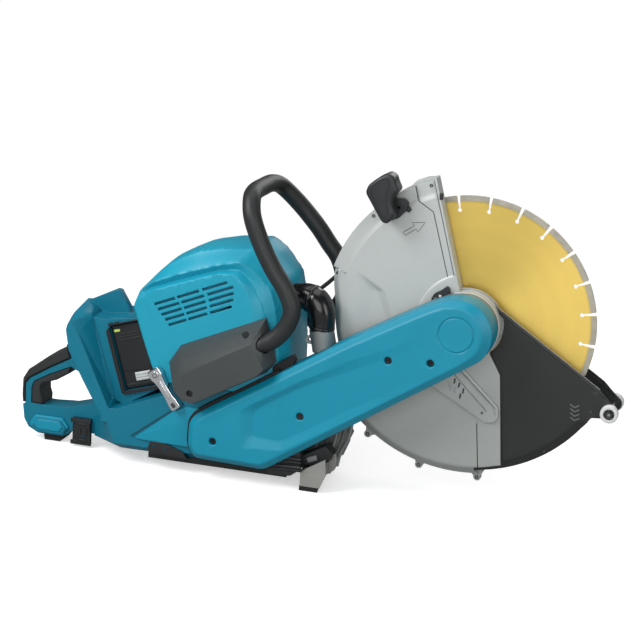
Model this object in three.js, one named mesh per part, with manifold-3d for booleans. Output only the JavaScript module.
// Battery power cutter (rescue saw) with a 350 mm diamond blade.
// Millimetres, +Z up, +X towards the blade, +Y towards the machine's left side.
// Origin: centre of the front foot's underside. The ground is the plane z = 0.
import * as THREE from 'three';
import { ConvexGeometry } from 'three/addons/geometries/ConvexGeometry.js';
import { mergeVertices } from 'three/addons/utils/BufferGeometryUtils.js';
import Module from 'manifold-3d';

const wasm = await Module();
wasm.setup();

// ---------- driving dimensions ----------
// Axes that run along Y are given as [x, z].
const SPINDLE = [200, 257];
const MOTOR = [-88, 84];
const ROLLER = [406, 158];           // guard roller axis
const POWER_BUTTON = [-226, 200];
const BLADE_R = 175;
const BORE_R = 12.7;                 // hole in the blade
const SEGMENTS = 24;                 // diamond segments round the rim
const SLOT_PHASE = 99.7;             // angle of one gullet slot, degrees
const DRIVEN_R = 34;                 // belt pulleys
const DRIVER_R = 21;
const BELT_THICKNESS = 3.1;
const BELT_GAP = 0.3;                // clearance between belt and pulleys
const BODY_W = 74;                   // half width of the lower body
const HOOD_W = 76;                   // half width of the upper housing
const TUBE_R = 12.5;                 // front handle tube
const BAY_CORNER = [-289, 103];      // lower front corner of the battery bays
const BAY_TILT = 17;                 // backward lean of the battery bays, degrees
const SEAM = 0.15;                   // from the plane y = 0 to each half shell

// ---------- outlines: lists of [x, z] points ----------
const radians = degrees => degrees * Math.PI / 180;

// Point at a radius and angle about an axis, then shifted across that radius.
function polar(radius, degrees, axis = SPINDLE, across = 0) {
  const cos = Math.cos(radians(degrees)), sin = Math.sin(radians(degrees));
  return [axis[0] + radius * cos - across * sin, axis[1] + radius * sin + across * cos];
}
const arc = (radius, from, to, steps) =>
  Array.from({ length: steps + 1 }, (_, i) => polar(radius, from + (to - from) * i / steps));
const ring = (radius, sides, axis) =>
  Array.from({ length: sides }, (_, i) => polar(radius, 360 * i / sides, axis));

// Battery bay frame: distance along the bay floor, height up the bay.
function bay(along, up) {
  const cos = Math.cos(radians(BAY_TILT)), sin = Math.sin(radians(BAY_TILT));
  return [BAY_CORNER[0] + along * cos - up * sin, BAY_CORNER[1] + along * sin + up * cos];
}

// Cross product of the steps origin-a and origin-b.
const cross = (origin, a, b) =>
  (a[0] - origin[0]) * (b[1] - origin[1]) - (a[1] - origin[1]) * (b[0] - origin[0]);

// Twice the signed area, positive when counter-clockwise.
const doubleArea = points => points.reduce((sum, point, i) => {
  const next = points[(i + 1) % points.length];
  return sum + point[0] * next[1] - next[0] * point[1];
}, 0);

// Drops repeated points and points on a straight run.
function tidy(points) {
  const kept = points.filter((point, i) => {
    const next = points[(i + 1) % points.length];
    return Math.hypot(point[0] - next[0], point[1] - next[1]) > 1e-3;
  });
  for (let again = true; again;) {
    again = false;
    for (let i = 0; i < kept.length && !again; i++) {
      const before = kept[(i + kept.length - 1) % kept.length];
      const after = kept[(i + 1) % kept.length];
      if (Math.abs(cross(before, kept[i], after)) < 1e-3) {
        kept.splice(i, 1);
        again = true;
      }
    }
  }
  return kept;
}

function convexOutline(points) {
  const sorted = points.slice().sort((a, b) => a[0] - b[0] || a[1] - b[1]);
  const halfOutline = list => {
    const kept = [];
    for (const point of list) {
      while (kept.length > 1 && cross(kept.at(-2), kept.at(-1), point) <= 0) kept.pop();
      kept.push(point);
    }
    kept.pop();
    return kept;
  };
  return halfOutline(sorted).concat(halfOutline(sorted.slice().reverse()));
}

// Mitred offset: a positive distance grows the outline, a negative one shrinks it.
function offset(points, distance) {
  const turn = doubleArea(points) > 0 ? 1 : -1;
  const count = points.length;
  const normal = (from, to) => {
    const dx = to[0] - from[0], dz = to[1] - from[1], length = Math.hypot(dx, dz);
    return [dz / length * turn, -dx / length * turn];
  };
  return points.map((point, i) => {
    const before = normal(points[(i + count - 1) % count], point);
    const after = normal(point, points[(i + 1) % count]);
    // the lower limit stops sharp corners from shooting out
    const mitre = distance / Math.max(0.35, 1 + before[0] * after[0] + before[1] * after[1]);
    return [point[0] + (before[0] + after[0]) * mitre, point[1] + (before[1] + after[1]) * mitre];
  });
}

// ---------- solids ----------
function solid(geometry) {
  geometry.deleteAttribute('normal');
  geometry.deleteAttribute('uv');
  const merged = mergeVertices(geometry, 1e-4);
  const index = merged.index.array;
  const triangles = [];
  for (let i = 0; i < index.length; i += 3) {
    const [a, b, c] = index.slice(i, i + 3);
    if (a !== b && b !== c && a !== c) triangles.push(a, b, c);
  }
  return new wasm.Manifold(new wasm.Mesh({
    numProp: 3,
    vertProperties: new Float32Array(merged.attributes.position.array),
    triVerts: new Uint32Array(triangles),
  }));
}

// Outline pushed along Y. Openings are outlines cut right through.
function prism(outline, yMin, yMax, { openings = [], bevel = 0, bevelSize = bevel } = {}) {
  const shape = new THREE.Shape(tidy(outline).map(point => new THREE.Vector2(...point)));
  const geometry = new THREE.ExtrudeGeometry(shape, {
    depth: yMax - yMin - 2 * bevel, bevelEnabled: bevel > 0, bevelThickness: bevel,
    bevelSize, bevelOffset: -bevelSize, bevelSegments: 1,
  });
  geometry.rotateX(Math.PI / 2);
  geometry.translate(0, yMax - bevel, 0);
  return cut(solid(geometry), ...openings.map(opening => prism(opening, yMin - 1, yMax + 1)));
}

// Convex body through levels of [y, outline].
function hull(levels) {
  return solid(new ConvexGeometry(levels.flatMap(([y, outline]) =>
    outline.map(([x, z]) => new THREE.Vector3(x, y, z)))));
}
const bothSides = levels => levels.concat(levels.map(([y, outline]) => [-y, outline]));

// Cylinder along Y about an [x, z] axis.
function rod([x, z], yMin, yMax, radius, sides) {
  const geometry = new THREE.CylinderGeometry(radius, radius, yMax - yMin, sides);
  geometry.translate(x, (yMin + yMax) / 2, z);
  return solid(geometry);
}

// Cylinder between two [x, y, z] points.
function bar(from, to, radius, sides) {
  const start = new THREE.Vector3(...from), end = new THREE.Vector3(...to);
  const span = end.clone().sub(start);
  const geometry = new THREE.CylinderGeometry(radius, radius, span.length(), sides);
  const up = new THREE.Vector3(0, 1, 0);
  geometry.applyQuaternion(new THREE.Quaternion().setFromUnitVectors(up, span.normalize()));
  geometry.translate(...start.add(end).divideScalar(2));
  return solid(geometry);
}

function box(xMin, xMax, yMin, yMax, zMin, zMax) {
  const geometry = new THREE.BoxGeometry(xMax - xMin, yMax - yMin, zMax - zMin);
  geometry.translate((xMin + xMax) / 2, (yMin + yMax) / 2, (zMin + zMax) / 2);
  return solid(geometry);
}

// Closed profile of [radius, y] points turned about an [x, z] axis.
function turned(profile, sides, [x, z] = SPINDLE) {
  const points = [...profile, profile[0]].map(point => new THREE.Vector2(...point));
  if (doubleArea(profile) < 0) points.reverse();
  const geometry = new THREE.LatheGeometry(points, sides);
  geometry.translate(x, 0, z);
  return solid(geometry);
}

// Round bar along a smooth curve through [x, y, z] points.
function sweep(points, radius, sides, steps) {
  const path = points.map(point => new THREE.Vector3(...point));
  const section = ring(radius, sides, [0, 0]).map(point => new THREE.Vector2(...point));
  return solid(new THREE.ExtrudeGeometry(new THREE.Shape(section), {
    steps, bevelEnabled: false,
    extrudePath: new THREE.CatmullRomCurve3(path, false, 'centripetal'),
  }));
}

const add = (...parts) => parts.reduce((sum, part) => sum.add(part));
const cut = (body, ...tools) => tools.reduce((rest, tool) => rest.subtract(tool), body);
const flip = part => part.mirror([0, 1, 0]);
// Side name and the function that moves a right-hand part to that side.
const SIDES = [['right', part => part], ['left', flip]];

// ---------- finishes and mesh building ----------
const FINISHES = {
  teal: { color: 0x1f8fa9, roughness: 0.42, metalness: 0 },
  black: { color: 0x1b1c1d, roughness: 0.6, metalness: 0 },
  rubber: { color: 0x141414, roughness: 0.85, metalness: 0 },
  grey: { color: 0x4a4d4e, roughness: 0.55, metalness: 0 },
  silver: { color: 0xbfc4c5, roughness: 0.45, metalness: 0.6 },
  casting: { color: 0x9a9e9f, roughness: 0.5, metalness: 0.7 },
  steel: { color: 0xb9bcbd, roughness: 0.3, metalness: 0.9 },
  chrome: { color: 0xdadcdd, roughness: 0.12, metalness: 1 },
  gold: { color: 0xd7b765, roughness: 0.35, metalness: 0.8 },
  charcoal: { color: 0x2c2f30, roughness: 0.5, metalness: 0.1 },
  copper: { color: 0xb0703c, roughness: 0.4, metalness: 0.8 },
  board: { color: 0x2b5d3a, roughness: 0.6, metalness: 0 },
  white: { color: 0xd9dbdb, roughness: 0.5, metalness: 0 },
  grip: { color: 0x3b3c3e, roughness: 0.7, metalness: 0 },
};
const saw = new THREE.Group();
const bladeGroup = new THREE.Group();
const guardGroup = new THREE.Group();
const frontGuardGroup = new THREE.Group();
saw.add(bladeGroup, guardGroup, frontGuardGroup);

function piece(name, part, finish, group = saw) {
  const { vertProperties, triVerts } = part.getMesh();
  const geometry = new THREE.BufferGeometry();
  const positions = new THREE.BufferAttribute(new Float32Array(vertProperties), 3);
  geometry.setAttribute('position', positions);
  geometry.setIndex(Array.from(triVerts));
  geometry.computeVertexNormals();
  const mesh = new THREE.Mesh(geometry, new THREE.MeshStandardMaterial(FINISHES[finish]));
  mesh.name = name;
  group.add(mesh);
}

// ---------- belt arm, on the right side ----------
const ARM_END_R = 47;
const COVER_BACK = -48, COVER_FACE = -94;
const COVER_SCREWS = [[-138, 60], [-13, 113], [108, 210], [167, 214]];
const armOutline = [
  [-178, 46], [-168, 29], [-66, 26], [-54, 32], polar(ARM_END_R, -56.5),
  ...arc(ARM_END_R, -45, 100, 12), [177, 301], [150, 288.5], [48, 230], [-100, 137],
  [-152, 105], [-170, 92], [-177, 80],
];
const armZone = offset(armOutline, 5);        // arm with clearance round it
const armSpace = prism(armZone, -120, -35.4); // room for the arm in the body shells

function beltCover() {
  const inside = offset(armOutline, -3);
  const outer = hull([
    [COVER_BACK, armOutline], [-85, armOutline], [COVER_FACE, offset(armOutline, -8)],
  ]);
  const hollow = hull([
    [COVER_BACK + 5, inside], [-83.5, inside], [COVER_FACE + 3, offset(armOutline, -11)],
  ]);
  // shallow sloping recess of the outer face
  const recess = hull([
    [-95, [[-92, 60], [-38, 61], [112, 160], [150, 287], [100, 262], [-92, 148]]],
    [-91.2, [[-80, 68], [-40, 69], [-38, 180], [-80, 156]]],
    [COVER_FACE, [[112, 164], [148, 282]]],
  ]);
  const bosses = COVER_SCREWS.map(at => rod(at, -91.5, COVER_BACK + 0.4, 5.6, 12));
  const holes = COVER_SCREWS.flatMap(at => [rod(at, -96, -84, 4.3, 16), rod(at, -90, -40, 2.3, 10)]);
  const grooveAxis = [SPINDLE[0] - 1, SPINDLE[1]];
  const groove = cut(rod(grooveAxis, -96, -93.2, 25.5, 32), rod(grooveAxis, -97, -92, 24, 32));
  return cut(add(cut(outer, hollow, recess), ...bosses), ...holes, groove);
}
piece('belt_cover', beltCover(), 'teal');
COVER_SCREWS.forEach((at, i) => {
  const screw = add(rod(at, -87.5, -84.3, 3.9, 12), rod(at, -84.3, -44, 1.9, 10));
  piece(`cover_screw_${i + 1}`, cut(screw, rod(at, -88, -85.8, 1.7, 6)), 'black');
});

// Plate with the bearing hub, open for both bearings, the spindle and the motor shaft.
piece('arm_casting', cut(
  add(prism(offset(armOutline, -0.8), -47.6, -36), rod(SPINDLE, -37, -21, 33.2, 28)),
  rod(SPINDLE, -60, -37.4, 21.3, 28),
  rod(SPINDLE, -29.6, -10, 21.3, 28),
  rod(SPINDLE, -40, -20, 14, 24),
  rod(MOTOR, -50, -30, 10, 20),
  ...COVER_SCREWS.map(at => rod(at, -50, -42, 2.3, 10)),
), 'casting');

// Outline of the belt at a distance outside both pulleys.
const beltOutline = gap =>
  convexOutline([...ring(DRIVEN_R + gap, 36), ...ring(DRIVER_R + gap, 28, MOTOR)]);
piece('drive_belt', prism(beltOutline(BELT_GAP + BELT_THICKNESS), -70, -54, {
  openings: [beltOutline(BELT_GAP)],
}), 'rubber');

// Groove between two flanges; the right flange starts at y = -73.
const pulleyProfile = (bore, groove, flange, yEnd) => [
  [bore, -73], [flange, -73], [flange, -71], [groove, -71],
  [groove, -53], [flange, -53], [flange, yEnd], [bore, yEnd],
];

// ---------- motor ----------
piece('motor_stator', turned([
  [19, -28], [36, -28], [38, -25], [38, 35], [36, 38], [19, 38],
], 28, MOTOR), 'copper');
piece('motor_rotor', turned([
  [0, -51.5], [6, -51.5], [6, -31], [8, -31], [8, -24], [18, -24], [18, 34], [8, 34], [8, 44],
  [0, 44],
], 20, MOTOR), 'steel');
piece('motor_pulley', turned(pulleyProfile(0, DRIVER_R, 24, -51.8), 28, MOTOR), 'steel');

// ---------- spindle and blade ----------
piece('spindle', turned([
  [0, -78], [10, -78], [10, -19.5], [14, -19.5], [14, -17], [12.3, -17], [12.3, 1.4], [10, 1.4],
  [10, 7], [5.3, 7], [5.3, -12], [0, -12],
], 18), 'steel', bladeGroup);
piece('driven_pulley', turned(pulleyProfile(10.3, DRIVEN_R, 38, -51.6), 28), 'steel', bladeGroup);
for (const [place, yMin, yMax] of [['outer', -47.3, -37.7], ['inner', -29.3, -21.3]]) {
  const profile = [[10.3, yMin], [21, yMin], [21, yMax], [10.3, yMax]];
  piece(`spindle_bearing_${place}`, turned(profile, 22), 'steel');
}
piece('inner_flange', turned([
  [12.6, -16.7], [24, -16.7], [26, -8], [40, -5], [40, -1.8], [12.6, -1.8],
], 28), 'steel', bladeGroup);
piece('outer_flange', turned([
  [10.3, 1.9], [40, 1.9], [40, 4.5], [28, 7.2], [10.3, 7.2],
], 28), 'steel', bladeGroup);
piece('blade_bolt', add(
  rod(SPINDLE, 7.5, 10, 15, 24), // washer
  rod(SPINDLE, 9.5, 18, 10.4, 6), // hexagon head
  rod(SPINDLE, -11, 8, 5, 16),
), 'steel', bladeGroup);

// One gullet slot: [radius, distance across the slot's centre line].
const SLOT = [
  [BLADE_R - 0.05, -2.5], [158, -1.2], [155.5, -3.2], [152.8, -1.6],
  [152.8, 1.6], [155.5, 3.2], [158, 1.2], [BLADE_R - 0.05, 2.5],
];
const pitch = 360 / SEGMENTS;
const bladeRim = Array.from({ length: SEGMENTS }, (_, i) => {
  const angle = SLOT_PHASE + pitch * i;
  return [
    ...SLOT.map(([radius, across]) => polar(radius, angle, SPINDLE, across)),
    polar(BLADE_R, angle + pitch / 3), polar(BLADE_R, angle + 2 * pitch / 3),
  ];
}).flat();
piece('diamond_blade', prism(bladeRim, -1.5, 1.5, { openings: [ring(BORE_R, 20)] }),
  'gold', bladeGroup);

// ---------- silver guard, drawn on the right side ----------
const GUARD_HUB_R = 34;
const GUARD_LUGS = [[65, 74], [142, 39], [227, 33]];
// Rim profiles of [radius, y], without the two points at the plate's inner radius.
const UPPER_RIM = [
  [181, -28], [185, -24], [203, -24], [203, -SEAM], [201, -SEAM], [201, -21.5], [184, -21.5],
  [180, -26],
];
const REAR_RIM = [[181, -28], [190, -15], [190, -SEAM], [188, -SEAM], [188, -14.2], [180, -26]];
const LOWER_RIM = [[205, -28], [216, -16], [216, -SEAM], [214, -SEAM], [214, -15.2], [204.2, -26]];

function guardLug(at) {
  const angle = Math.atan2(at[1] - SPINDLE[1], at[0] - SPINDLE[0]) * 180 / Math.PI;
  const outline = [...ring(6.5, 12, at), polar(215, angle - 4), polar(215, angle + 4)];
  return cut(hull([[-4.2, outline], [-SEAM, outline]]), rod(at, -5.2, 0.85, 2.4, 10));
}

// Half shell from a start angle under the crown round to the bottom.
function guardHalf(innerRadius, startAngle, ...extras) {
  const sectors = [
    [UPPER_RIM, startAngle, 163], [REAR_RIM, 162.9, 205], [LOWER_RIM, 204.9, 277],
  ].map(([rim, from, to]) => turned([[innerRadius, -28], ...rim, [innerRadius, -26]], 60)
    .intersect(prism([SPINDLE, ...arc(270, from, to, 10)], -40, 5)));
  return add(
    ...sectors,
    ...extras,
    // webs that close the steps between the rim radii
    prism([polar(186, 204.6), polar(215, 204.7), polar(215, 205.4), polar(186, 205.4)],
      -26.5, -SEAM),
    prism([polar(201.5, 162.3), polar(187, 162.3), polar(187, 163), polar(201.5, 163)],
      -22, -SEAM),
    ...GUARD_LUGS.map(guardLug),
  );
}

const lowerPlate = prism([
  SPINDLE, polar(205, 276.9), [240, 56.5], [263, 62.5], [252, 191], [234, 222],
], -28, -26);
const hubRing = turned([
  [GUARD_HUB_R, -35.6], [47.5, -35.6], [47.5, -19], [GUARD_HUB_R, -19],
], 48);
// wall along the opening edge
const edgeWall = prism([polar(62, 107), polar(203, 107), polar(203, 107.7), polar(62, 109)],
  -28, -5);
// raised pad below the hub
const pad = hull([
  [-28, [[163, 170], [225, 121], [232, 118], [251, 120], [255, 124], [257, 146], [205, 198],
    [197, 202]]],
  [-33.5, [[168, 170], [226, 124], [232, 121], [249, 123], [252, 126], [253, 143], [203, 193],
    [197, 196]]],
]);
piece('guard_right_shell', cut(
  guardHalf(GUARD_HUB_R, 107, lowerPlate, hubRing, edgeWall, pad),
  rod(SPINDLE, -60, 0, GUARD_HUB_R, 40),
  rod([236, 131], -40, -20, 2.2, 10),
), 'silver', guardGroup);
// low rib on the crown of the left shell
const crownRib = prism([...arc(202, 117, 122, 3), ...arc(206, 122, 117, 3)], SEAM, 14);
piece('guard_left_shell', add(flip(guardHalf(95, 116)), crownRib), 'silver', guardGroup);
piece('front_guard_retainer', turned([
  [40.5, -18.7], [50.4, -18.7], [50.4, -17], [40.5, -17],
], 30), 'steel', guardGroup);

// Grip that turns the guard, with its mounting plate.
piece('guard_grip', cut(add(
  prism([
    [53, 430], [57, 441], [66, 450], [80, 456.5], [87, 455], [90, 448], [92, 437], [88, 425],
    [93, 407], [88, 396], [80, 390.5], [75, 391.5],
  ], -60, -31, { bevel: 4 }),
  prism([[84, 424], [105, 422], [108.5, 417], [107, 411], [96, 398], [84, 391]],
    -36, -28.3, { bevel: 1 }),
), rod([97, 413], -40, -24, 2.4, 10)), 'black', guardGroup);
piece('water_nozzle', add(
  prism([[1, 318], [16, 314], [20, 302], [4, 299]], 24.3, 29.6),
  bar([5.6, 33.5, 306], [10, 33.5, 306], 4, 12),
  box(6, 14, 29, 35, 301, 311),
), 'black', guardGroup);

// ---------- black front guard ----------
// Point on the sloping upper edge, by distance down the slope.
const edge = distance => [264 + 0.8371 * distance, 270 - 0.5471 * distance];
const frontProfile = [
  [48.2, -23.5], [202, -23.5], [212, -13.5], [212, 13.5], [202, 23.5], [95, 23.5],
  [95, 21.5], [201.2, 21.5], [210, 12.7], [210, -12.7], [201.2, -21.5], [48.2, -21.5],
];
const frontSector = [
  edge(-45), edge(260), [330, -50], [330, -75], [330, -96], [60, -96], [215, 240],
];
// The first two sector corners lie on the edge; these lie on rays from the spindle.
frontSector.splice(2, 4, polar(330, -50), polar(330, -75), polar(330, -96), polar(60, -96));
const rollerEar = [
  edge(60), edge(167), [414, 167], [418, 158], [414, 149], [405, 146], [392, 143], [378, 134],
  [362, 118], [330, 150],
];
piece('front_guard', cut(add(
  turned(frontProfile, 60).intersect(prism(frontSector, -40, 40)),
  turned([[48.2, -23.5], [50.8, -23.5], [50.8, -21.5], [48.2, -21.5]], 48),
  prism(rollerEar, -25.6, -21.6),
  prism(rollerEar, 21.6, 25.6),
  prism([[372, 132], [382, 139], [374, 146], [366, 140]], -22, 22),
), rod(ROLLER, -40, 40, 3.8, 14)), 'charcoal', frontGuardGroup);
piece('roller_axle', rod(ROLLER, -36.4, 36.4, 3.5, 14), 'steel', frontGuardGroup);
for (const [side, place] of SIDES) {
  piece(`guard_roller_${side}`, place(turned([
    [3.8, -36], [10.5, -36], [12.5, -34.5], [12.5, -27.5], [10.5, -26], [3.8, -26],
  ], 20, ROLLER)), 'white', frontGuardGroup);
}

// ---------- upper housing ----------
const HOOD = [
  [HOOD_W, [[-266, 236], [-250, 262], [-132, 303], [-104, 296], [-84, 270], [-72, 235],
    [-66, 180], [-66, 131.4], [-224, 131.4], [-234, 150]]],
  [70, [[-275, 237], [-262, 262], [-214, 290], [-150, 318], [-102, 320], [-74, 304],
    [-53, 276], [-46, 240], [-42, 180], [-40, 131.4], [-228, 131.4], [-241, 150]]],
  [50, [[-275, 234], [-268, 257], [-226, 300], [-185, 322], [-150, 330], [-104, 334],
    [-78, 322], [-50, 292], [-43, 262], [-36, 190], [-36, 131.4], [-228, 131.4], [-242, 150]]],
];
// Per hood level: y of the cavity level and the wall thickness there.
const HOOD_WALLS = [[HOOD_W - 3.2, 4], [67, 3.5], [48, 3.2]];
const hoodSolid = hull(bothSides(HOOD));
const hoodShell = cut(hoodSolid, hull(bothSides(
  HOOD_WALLS.map(([y, wall], i) => [y, offset(HOOD[i][1], -wall)]))));
const rightHalf = box(-600, 600, -200, -SEAM, -50, 600);

// Five rising rows of three vent slots through the right wall.
function ventSlots() {
  const rowLengths = [115, 119, 114, 108, 100];
  const slotSpans = [[0, 0.285], [0.315, 0.615], [0.66, 1]]; // fractions of the row
  const height = 3.6, lean = 1.6416;
  const dx = Math.cos(radians(22.5)), dz = Math.sin(radians(22.5));
  return add(...rowLengths.flatMap((length, row) => slotSpans.map(([from, to]) => {
    const top = [from, to].map(part => [
      -239 + 5.5 * row + dx * part * length, 246 - 6.95 * row + dz * part * length,
    ]);
    const bottom = top.map(([x, z]) => [x + lean, z - height]).reverse();
    return prism([...top, ...bottom], -80, -70);
  })));
}
const vents = ventSlots();
piece('upper_housing_right', cut(hoodShell.intersect(rightHalf), armSpace, vents), 'teal');
piece('upper_housing_left', cut(hoodShell.intersect(flip(rightHalf)), flip(vents),
  rod(POWER_BUTTON, 60, 80, 8.4, 20)), 'teal');
const fins = [0, 1, 2, 3, 4].map(i => box(-205 + 22 * i, -198 + 22 * i, -38, 38, 199, 222));
piece('motor_controller', add(box(-215, -95, -40, 40, 150, 200), ...fins), 'board');

// ---------- lower body with battery bays and rear handle, right half ----------
const lowerCentre = [[-38, 22], [-345, 20], [-345, 52], [-313, 66], [-307, 72], [-38, 60]];
const lowerBase = hull([
  [-BODY_W, [[-38, 32], [-247, 30], [-294, 30], [-300, 46], [-307, 62], [-307, 72], [-38, 60]]],
  [-62, [[-38, 22], [-288, 20.5], [-306, 40], [-313, 66]]],
  [-24, lowerCentre],
  [0, lowerCentre],
]);
const lowerUpper = prism([
  [-38, 55], [-318, 60], [-307, 80], [-292, 82], [-220, 112], [-212, 131], [-38, 131],
], -BODY_W, -SEAM);

// Wall behind the batteries: side part with the bay cut away, and centre part.
const wallMiddle = [
  [-318, 62], [-350, 118], [-372, 162], [-378, 200], [-372, 210], [-346, 212], [-310, 91],
  [-300, 70],
];
const wallSide = cut(
  hull([
    [-BODY_W, [[-313, 64], [-345, 118], [-368, 160], [-373, 190], [-371, 198], [-365, 203],
      [-304, 80], [-300, 70]]],
    [-45, wallMiddle],
  ]),
  hull([
    [-BODY_W - 1, [[-362, 204], [-356, 215], [-280, 215], [-280, 92], [-305, 82]]],
    [-44, [[-345, 215], [-280, 215], [-280, 92], [-311, 90]]],
  ]),
);
const wallCentre = hull([
  [-46, wallMiddle],
  [-SEAM, [[-318, 62], [-350, 118], [-372, 165], [-380, 204], [-370, 221], [-356, 216],
    [-346, 205], [-310, 91], [-300, 70]]],
]);
const bayBlock = prism([
  [-352, 180], [-347, 206], [-330, 204], bay(52.4, 100), bay(52.4, -6), [-292, 80], [-312, 88],
], -44, -SEAM);
const topWeb = prism([
  [-372, 195], [-369, 218], [-324, 240.5], [-318, 240], [-303, 216], [-300, 190], [-340, 150],
], -6, -SEAM);

// Handle loop, its flared foot and the neck that joins it to the rear wall.
const handleOutline = [
  [-387, 131], [-421, 112], [-452, 93], [-459, 84], [-459, 54], [-463.5, 51], [-461, 29],
  [-454, 17], [-438, 9.3], [-398, 9.3], [-390, 14], [-384, 20], [-340, 20], [-312, 62],
  [-345, 118], [-368, 160], [-376, 190], [-384, 184], [-385, 160], [-391, 148],
];
const handleOpening = [
  [-388, 118.5], [-421, 103], [-446, 89], [-450, 80], [-450.3, 54.4], [-421, 53.7], [-405, 55],
  [-388, 56], [-353, 66], [-349, 71], [-362, 98], [-368, 106], [-374, 112],
];
const handleCore = add(
  prism(handleOutline, -18, -SEAM, { openings: [handleOpening] }),
  hull([
    [-24, [[-445, 22], [-440, 13], [-396, 13], [-392, 24], [-400, 34], [-436, 34]]],
    [-10, [[-453, 20], [-442, 9.5], [-394, 9.5], [-386, 24], [-398, 40], [-442, 40]]],
  ]),
);
const neck = hull([
  [-34, [[-366, 150], [-372, 176], [-360, 170]]],
  [-SEAM, [[-385, 130], [-391, 148], [-385, 180], [-378, 196], [-350, 150], [-366, 108]]],
]);

const mainCavity = prism([
  [-284, 31], [-290, 50], [-292, 73], [-226, 100], [-206, 124], [-46, 124], [-46, 32],
], -70, 0);
const rearCavity = prism([[-335, 30], [-325, 56], [-296, 70], [-280, 70], [-280, 31]], -18, 0);
const batteryPocket = prism([bay(-1, -1), bay(50.4, -1), bay(50.4, 97), bay(-1, 97)], -60, -6);
const triggerPocket = prism([
  [-384, 114], [-384, 122], [-352, 139], [-336, 139], [-336, 104], [-346, 96], [-352, 84],
  [-361, 92], [-368, 105],
], -9.5, 0);
const leverPocket = prism([
  [-401, 116], [-366, 136], [-366, 165], [-400, 152], [-403, 140],
], -7, 0);
function lowerHalf(cavity) {
  return cut(
    add(lowerBase, lowerUpper, add(wallSide, wallCentre), bayBlock, topWeb, handleCore, neck),
    add(cavity, rearCavity), batteryPocket, triggerPocket, leverPocket,
  ).intersect(rightHalf);
}
// the right cavity leaves a wall round the arm
const rightCavity = cut(mainCavity, prism(offset(armZone, 4), -120, -32.2));
piece('lower_body_right', cut(lowerHalf(rightCavity), armSpace, rod(MOTOR, -40, -30, 12, 16)),
  'teal');
piece('lower_body_left', flip(lowerHalf(mainCavity)), 'teal');

// ---------- rear handle grips and controls ----------
const gripBevel = { bevel: 3, bevelSize: 2.2 };
piece('rear_grip_outer', cut(
  prism([
    [-392.5, 148.5], [-422, 131], [-455, 106], [-464, 91], [-465, 66], [-464, 54.4],
    [-459.6, 54.4], [-459.6, 84.2], [-452.4, 93.6], [-421.3, 112.7], [-387.8, 131.6],
  ], -20, 20, gripBevel),
  prism([[-403, 130], [-366, 150], [-376, 165], [-404, 148]], -7.3, 7.3),
), 'grip');
piece('rear_grip_inner', prism([
  [-388, 117.8], [-421, 102.2], [-445.6, 88.4], [-449.4, 79.8], [-449.4, 54.6], [-431.5, 54.6],
  [-431, 63], [-434, 72], [-434, 82], [-431, 87], [-409, 95.5], [-388.5, 108.4],
], -20, 20, gripBevel), 'grip');
piece('trigger', add(
  prism([
    [-380, 115], [-374, 119], [-352, 131], [-342, 131], [-340, 122], [-350, 112], [-356, 96],
    [-361, 95.5], [-368, 107],
  ], -8.5, 8.5),
  rod([-346, 126], -9.2, 9.2, 2.6, 12),
), 'black');
piece('lock_off_lever', add(
  prism([
    [-400, 147.6], [-388, 153.6], [-376, 159], [-372, 157], [-370, 145], [-376, 142],
    [-379, 148], [-400, 138.5],
  ], -6, 6),
  rod([-374.5, 149.5], -6.7, 6.7, 2.4, 12),
), 'black');

// ---------- batteries ----------
const battery = cut(
  prism([
    bay(0, 3), bay(3, 0), bay(46.4, 0), bay(49.4, 3),
    bay(49.4, 93), bay(46.4, 96), bay(3, 96), bay(0, 93),
  ], -42, -7, { bevel: 1.5 }),
  prism([bay(18, 8), bay(44, 8), bay(44, 24), bay(18, 24)], -43, -33),
);
const batteryLatch = prism([bay(19, 9.5), bay(43, 9.5), bay(43, 22.5), bay(19, 22.5)],
  -44, -37.4, { bevel: 1 });
const bayFrame = prism([
  bay(-7, -3), bay(-4, -6), bay(52.2, -6), bay(52.2, 99), bay(4, 99), bay(-7, 90),
], -47.5, -44.2, {
  openings: [[bay(-1, -1), bay(50.8, -1), bay(50.8, 97), bay(2, 97), bay(-1, 94)]],
});
for (const [side, place] of SIDES) {
  piece(`battery_${side}`, place(battery), 'black');
  piece(`battery_latch_${side}`, place(batteryLatch), 'white');
  piece(`bay_frame_${side}`, place(bayFrame), 'black');
}

// ---------- front handle and its brackets ----------
// Tube centre line from the right bracket over the top to the left one: [x, y, z].
const TUBE_PATH = [
  [-96, -92, 196], [-74, -91, 208], [-55, -90.5, 220], [-40, -90, 238], [-32.5, -89.5, 262],
  [-42, -88.5, 288], [-64, -87, 319], [-85, -85, 356], [-98, -82, 388], [-104, -68, 408],
  [-108, -45, 413], [-110, 0, 413.5], [-109, 45, 412], [-103, 68, 405], [-80, 81, 381],
  [-50, 85, 348], [-33, 87, 325], [-17, 88, 304], [-8, 89, 277], [-6, 90, 252],
  [-17, 90.5, 229], [-44, 91, 213], [-72, 91.5, 204], [-96, 92, 196],
];
piece('front_handle', sweep(TUBE_PATH, TUBE_R, 12, 46), 'black');
const tubeSocket = add(
  sweep(TUBE_PATH, TUBE_R + 0.6, 12, 46),
  bar([-93.4, -91.9, 197.4], [-97.8, -92.1, 195], TUBE_R + 0.9, 16),
  bar([-93.2, 91.9, 196.9], [-98, 92.1, 195.3], TUBE_R + 0.9, 16),
);
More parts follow.
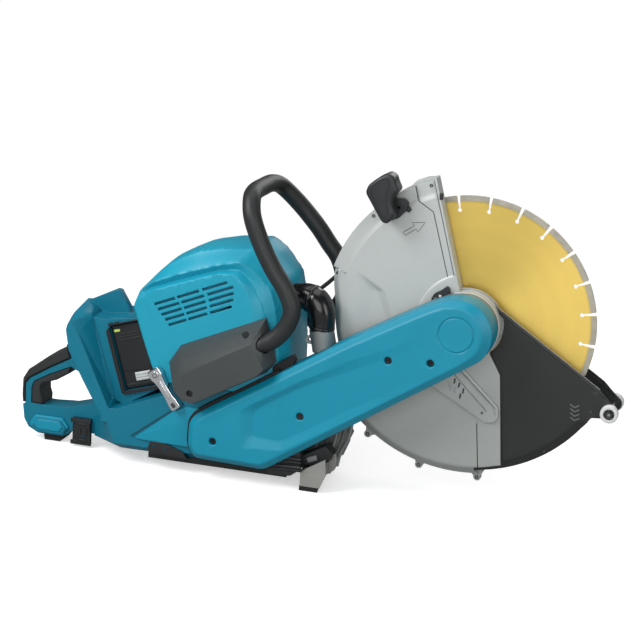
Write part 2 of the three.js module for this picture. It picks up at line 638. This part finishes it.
const bracket = hull([
  [-HOOD_W - 0.3, [[-72, 245], [-196, 190], [-213, 163], [-199, 124], [-184, 113],
    [-167, 111], [-68, 166], [-54, 184]]],
  [-92, [[-76, 232], [-190, 180], [-205, 160], [-193, 125], [-182, 115], [-166, 113],
    [-70, 167], [-58, 181]]],
  [-108, [[-84, 213], [-180, 158], [-194, 131], [-180, 118], [-165, 116], [-73, 168],
    [-64, 178]]],
]);
// Screw axis and the y its head seats at.
const BRACKET_SCREWS = [[[-96, 222], -93], [[-170, 130], -100]];
const bracketHoles = add(...BRACKET_SCREWS.flatMap(([at, seat]) =>
  [rod(at, -120, seat, 5, 14), rod(at, -120, -70, 2.6, 10)]));
for (const [side, place] of SIDES) {
  piece(`handle_bracket_${side}`, cut(place(bracket), tubeSocket, place(bracketHoles)), 'grey');
}
BRACKET_SCREWS.forEach(([at, seat], i) => piece(`bracket_screw_${i + 1}`, add(
  rod(at, seat - 3.5, seat - 0.3, 4.6, 12),
  rod(at, seat - 0.4, -77, 2.3, 10),
), 'black'));

// ---------- cable elbow on its metal spigot ----------
piece('cable_spigot', cut(
  add(
    bar([7, -50, 202], [0.5, -50, 232], 17.5, 24),
    bar([-16, -50, 214], [-16, -44, 214], 6, 12),
    box(-18, -4, -50, -44, 208, 220),
  ),
  bar([8, -50, 196], [-1, -50, 240], 14, 20),
  prism(offset(armOutline, 0.4), -110, -20),
  rod([-16, 214], -60, -30, 2.4, 10),
), 'casting');
const elbowPath = [
  [1, -50, 229.5], [-1.5, -49, 244], [-7, -47, 259], [-18, -44, 270], [-40, -41, 274],
];
piece('cable_boot', cut(
  add(sweep(elbowPath, 16.5, 14, 9), sweep([[0.6, -50, 232.4], [0, -50, 238]], 18.6, 16, 1)),
  add(hoodSolid, box(-140, -35.6, -60, -20, 200, 300)),
  bar([7, -50, 202], [0.45, -50, 232.3], 17.8, 24),
), 'rubber');

// ---------- water hose from body to guard ----------
const hosePath = [[-35.4, 8, 280], [-26, 16, 284], [-16, 28, 292], [-8, 33, 302], [3.2, 33.5, 306]];
piece('water_hose', cut(
  sweep(hosePath, 3.2, 8, 12),
  add(hoodSolid, box(-140, -36.4, -10, 30, 250, 300)),
), 'rubber');

// ---------- stand, feet, base ----------
piece('front_stand', cut(
  hull([
    [-75, [[-12, 28], [23.5, 50], [25.5, 27], [17, 6.8], [-12, 6.8]]],
    [75, [[-36.5, 27], [-27, 27], [-22, 29], [2, 38], [3, 24], [-6, 6.8], [-28, 6.8],
      [-32, 12], [-36.5, 15]]],
  ]),
  hull([
    [-70.5, [[-40, 40], [-8, 24], [13, 30], [26, 45], [26, 70], [-40, 70]]],
    [70.5, [[-40, 40], [-27, 20], [-8, 24], [4, 36], [4, 70], [-40, 70]]],
  ]),
), 'casting');
piece('front_foot', hull([
  [-74, [[-13, 0], [14, 0], [16, 6.7], [-13, 6.7]]],
  [74, [[-28, 0], [-9, 0], [-7, 6.7], [-28, 6.7]]],
]), 'rubber');
piece('front_bumper', prism([
  [-37.4, 100], [33, 93], [39, 87], [33, 79], [34, 72], [26, 68], [27, 60], [18, 56],
  [19, 48.5], [10, 46.5], [-37.4, 46.5],
], -33, 33, { openings: [[[-30, 90], [20, 84], [-30, 54]]] }), 'charcoal');
const railGrooves = [-46, -22, 0, 22, 46].map(y => box(-240, -42, y - 5, y + 5, 5, 15));
piece('base_rail', cut(box(-246, -37, -60, 60, 11, 19.4), ...railGrooves), 'black');
piece('rear_foot', prism([[-428, 0], [-403, 0], [-396, 8.9], [-429, 8.9]], -17, 17), 'rubber');
piece('side_clip', cut(
  add(
    box(-380, -352, -24.4, -18.4, 3, 43),
    box(-382, -350, -27.5, -24.3, 37, 43),
    box(-382, -350, -27.5, -24.3, 3, 9),
  ),
  rod([-358, 20], -30, -10, 3, 10),
  rod([-360, 32], -30, -10, 2.5, 10),
), 'black');

// ---------- blade wrench ----------
// Wrench frame: distance down its length, distance across it.
const wrenchPoint = ([along, across]) =>
  [-234 + 0.588 * along - 0.809 * across, 151 - 0.809 * along - 0.588 * across];
// One edge of the symmetric outline: [along, half width].
const wrenchEdge = [[0, 8.5], [16, 8.5], [22, 6], [50, 6], [54, 7.5], [65, 7.5]];
const wrenchOutline = [
  ...wrenchEdge.map(([along, half]) => [along, -half]), ...wrenchEdge.slice().reverse(),
].map(wrenchPoint);
piece('blade_wrench', cut(
  prism(wrenchOutline, -90, -77.2, { bevel: 2.5 }),
  prism(ring(4, 6, wrenchPoint([59, 0])), -95, -70),
), 'chrome');

// ---------- power button and hose clamp ----------
piece('power_button', rod(POWER_BUTTON, 70, 79.4, 8, 20), 'black');
piece('hose_clamp', prism([
  [137, 288], [150, 295], [163, 300], [168, 306], [163, 315], [150, 313], [139, 302],
], -35.7, -30.5), 'black');

export default saw;
